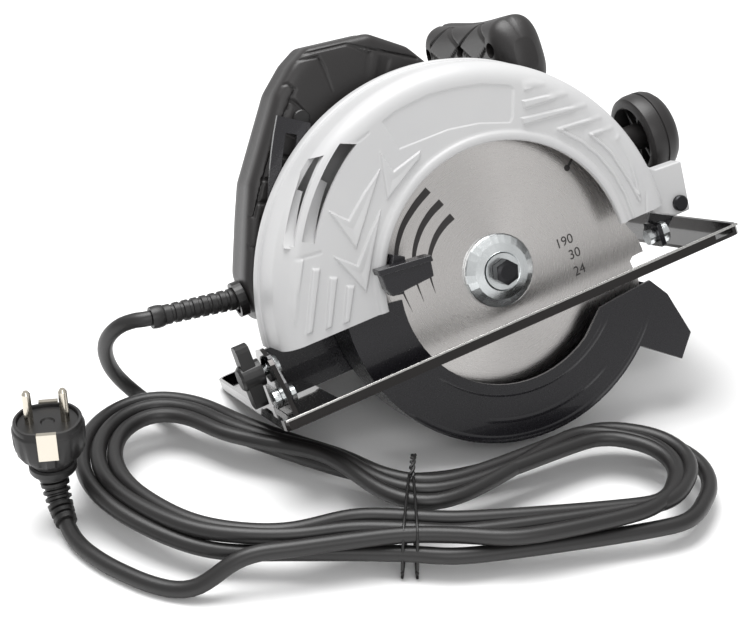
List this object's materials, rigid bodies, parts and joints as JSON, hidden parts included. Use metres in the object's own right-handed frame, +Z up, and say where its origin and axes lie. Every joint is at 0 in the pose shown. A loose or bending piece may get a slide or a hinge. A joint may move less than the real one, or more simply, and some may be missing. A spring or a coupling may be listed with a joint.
{
  "type": "circular saw",
  "caption": "Corded hand-held circular saw with a toothed blade in a sprung two-part guard, tilting base plate, closed rear handle, top grip, side motor and a bundled mains cord.",
  "frame": {"origin": "on the bench, under the centre of the saw without its cord", "axes": "+X is near the cutting direction, +Y leads from the blade towards the motor, +Z is up. The saw leans on its lower guard, the base plate corner and the motor end."},
  "size_m": [0.4368, 0.3777, 0.2195],
  "materials": {
    "painted_casting": "light grey powder-coated die casting, semi-gloss",
    "black_nylon": "glass-filled nylon, fine satin grain",
    "black_trim": "black moulded trim and insulators",
    "bright_steel": "bright turned steel",
    "blade_steel": "ground blade steel with circular brushing",
    "zinc_plate": "bright zinc plate",
    "black_oxide": "black-oxide steel",
    "dark_chrome": "dark nickel-chrome plated pressed steel",
    "shield_black": "satin black coated",
    "copper_winding": "enamelled copper windings",
    "carbon": "pressed carbon",
    "cord_rubber": "satin rubber sheath",
    "nickel_pin": "bright nickel plate"
  },
  "bodies": {
    "base": {"base_plate": "dark_chrome", "rear_quadrant": "dark_chrome", "cord_lead": "cord_rubber", "cord_hank": "cord_rubber", "cord_tie": "black_trim", "cord_tail": "cord_rubber", "plug_body": "cord_rubber", "plug_pin_left": "nickel_pin", "plug_pin_right": "nickel_pin"},
    "saw_frame": {"brush_cap_front": "black_trim", "brush_cap_rear": "black_trim", "brush_holder_front": "copper_winding", "brush_holder_rear": "copper_winding", "carbon_brush_front": "carbon", "carbon_brush_rear": "carbon", "cord_clamp_ring": "black_trim", "depth_clamp_bolt": "zinc_plate", "depth_pivot_screw": "black_oxide", "field_coil_front": "copper_winding", "field_coil_rear": "copper_winding", "front_knob": "black_nylon", "gear_case": "painted_casting", "guard_return_spring": "bright_steel", "handle_left_shell": "black_nylon", "handle_right_shell": "black_nylon", "motor_end_cap": "black_nylon", "motor_front_bearing": "bright_steel", "motor_housing": "black_nylon", "motor_rear_bearing": "bright_steel", "spindle_front_bearing": "bright_steel", "spindle_rear_bearing": "bright_steel", "stator_core": "bright_steel", "strain_relief": "cord_rubber", "switch_body": "black_trim", "top_grip_front": "black_nylon", "top_grip_rear": "black_nylon", "upper_guard": "painted_casting"},
    "guard": {"lower_guard": "shield_black", "guard_lever": "shield_black"},
    "spindle": {"spindle_shaft": "bright_steel", "driven_gear": "bright_steel", "inner_flange": "zinc_plate", "saw_blade": "blade_steel", "outer_flange": "zinc_plate", "blade_washer": "zinc_plate", "blade_bolt": "black_oxide"},
    "armature": {"armature_shaft": "bright_steel", "armature_core": "bright_steel", "commutator": "copper_winding", "cooling_fan": "black_trim"},
    "depth_frame": {"front_bracket": "shield_black", "rear_bracket": "shield_black", "front_bevel_pin": "zinc_plate", "rear_bevel_pin": "zinc_plate", "bevel_clamp_bolt": "zinc_plate"},
    "bevel_knob": {"bevel_wing_knob": "black_trim"},
    "depth_lever": {"depth_clamp_lever": "black_trim"},
    "trigger": {"switch_trigger": "black_trim"},
    "lock_off": {"lock_off_button": "black_trim"},
    "spindle_lock": {"spindle_lock_button": "black_trim"}
  },
  "joints": [
    {"name": "guard_swing", "type": "hinge", "parent": "saw_frame", "child": "guard", "pos_m": [0.01853, -0.08558, 0.09967], "axis": [0.0702, 0.9328, -0.3536], "range_deg": [0, 95], "stiffness_Nm_per_rad": 0.25, "springref_deg": -34.38},
    {"name": "spindle_spin", "type": "hinge", "parent": "saw_frame", "child": "spindle", "pos_m": [0.01853, -0.08558, 0.09967], "axis": [0.0702, 0.9328, -0.3536], "continuous": true},
    {"name": "armature_spin", "type": "hinge", "parent": "saw_frame", "child": "armature", "pos_m": [-0.00771, -0.07747, 0.11586], "axis": [0.0702, 0.9328, -0.3536], "continuous": true},
    {"name": "depth_swing", "type": "hinge", "parent": "depth_frame", "child": "saw_frame", "pos_m": [0.13803, -0.0872, 0.11912], "axis": [0.0702, 0.9328, -0.3536], "range_deg": [0, 24]},
    {"name": "bevel_tilt", "type": "hinge", "parent": "base", "child": "depth_frame", "pos_m": [0.02173, -0.093, 0.08356], "axis": [0.9809, 0, 0.1947], "range_deg": [0, 45]},
    {"name": "bevel_knob_turn", "type": "hinge", "parent": "depth_frame", "child": "bevel_knob", "pos_m": [-0.12682, -0.07303, 0.0615], "axis": [-0.9809, 0, -0.1947], "range_deg": [0, 180]},
    {"name": "depth_lever_turn", "type": "hinge", "parent": "saw_frame", "child": "depth_lever", "pos_m": [-0.09321, -0.05183, 0.08166], "axis": [0.0702, 0.9328, -0.3536], "range_deg": [0, 60]},
    {"name": "trigger_pull", "type": "slide", "parent": "saw_frame", "child": "trigger", "axis": [-0.9018, 0.2109, 0.3772], "range_m": [0, 0.005], "stiffness_N_per_m": 800, "springref_m": -0.002},
    {"name": "lock_off_press", "type": "slide", "parent": "saw_frame", "child": "lock_off", "axis": [0.0702, 0.9328, -0.3536], "range_m": [0, 0.003], "stiffness_N_per_m": 600, "springref_m": -0.002},
    {"name": "spindle_lock_press", "type": "slide", "parent": "saw_frame", "child": "spindle_lock", "axis": [-0.0702, -0.9328, 0.3536], "range_m": [0, 0.0035], "stiffness_N_per_m": 900, "springref_m": -0.002}
  ],
  "couplings": [
    {"joint": "armature_spin", "follows": "spindle_spin", "ratio": -4.1}
  ]
}
